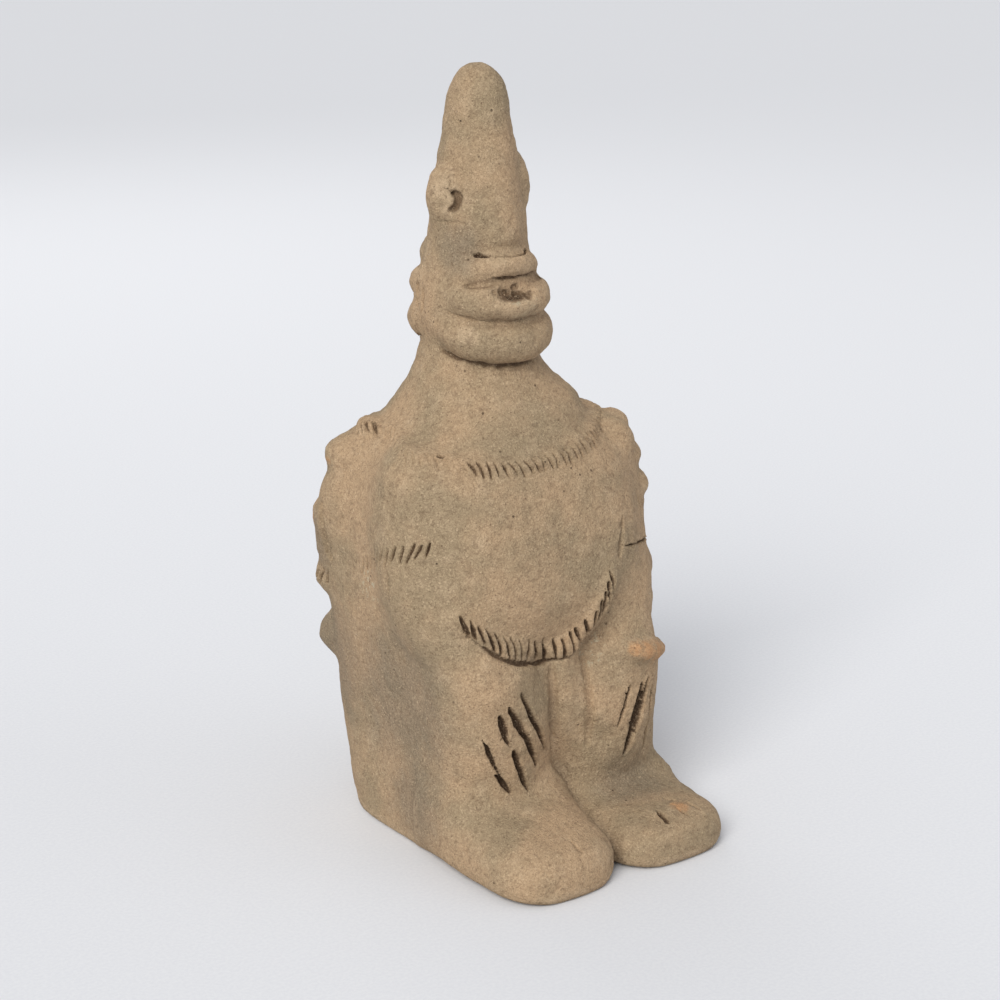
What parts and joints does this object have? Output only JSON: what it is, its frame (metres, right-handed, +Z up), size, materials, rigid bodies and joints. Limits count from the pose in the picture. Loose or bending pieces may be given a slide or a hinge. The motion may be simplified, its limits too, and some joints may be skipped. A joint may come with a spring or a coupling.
{
  "type": "janiform funerary figure",
  "caption": "Seated fired-clay funerary figure with a tall conical head that has a face in front and another behind, solid, standing on its flat underside.",
  "frame": {"origin": "middle of the bounding box, on the ground plane under the flat underside", "axes": "+Z up to the tip of the head, -Y towards the front face and the toes, -X to the front figure's right hand"},
  "size_m": [0.1228, 0.1552, 0.3],
  "materials": {
    "fired_clay": "matt, gritty greyish tan earthenware with worn orange edges and dark soil in the cuts"
  },
  "bodies": {
    "root": {"figure": "fired_clay"}
  },
  "joints": []
}
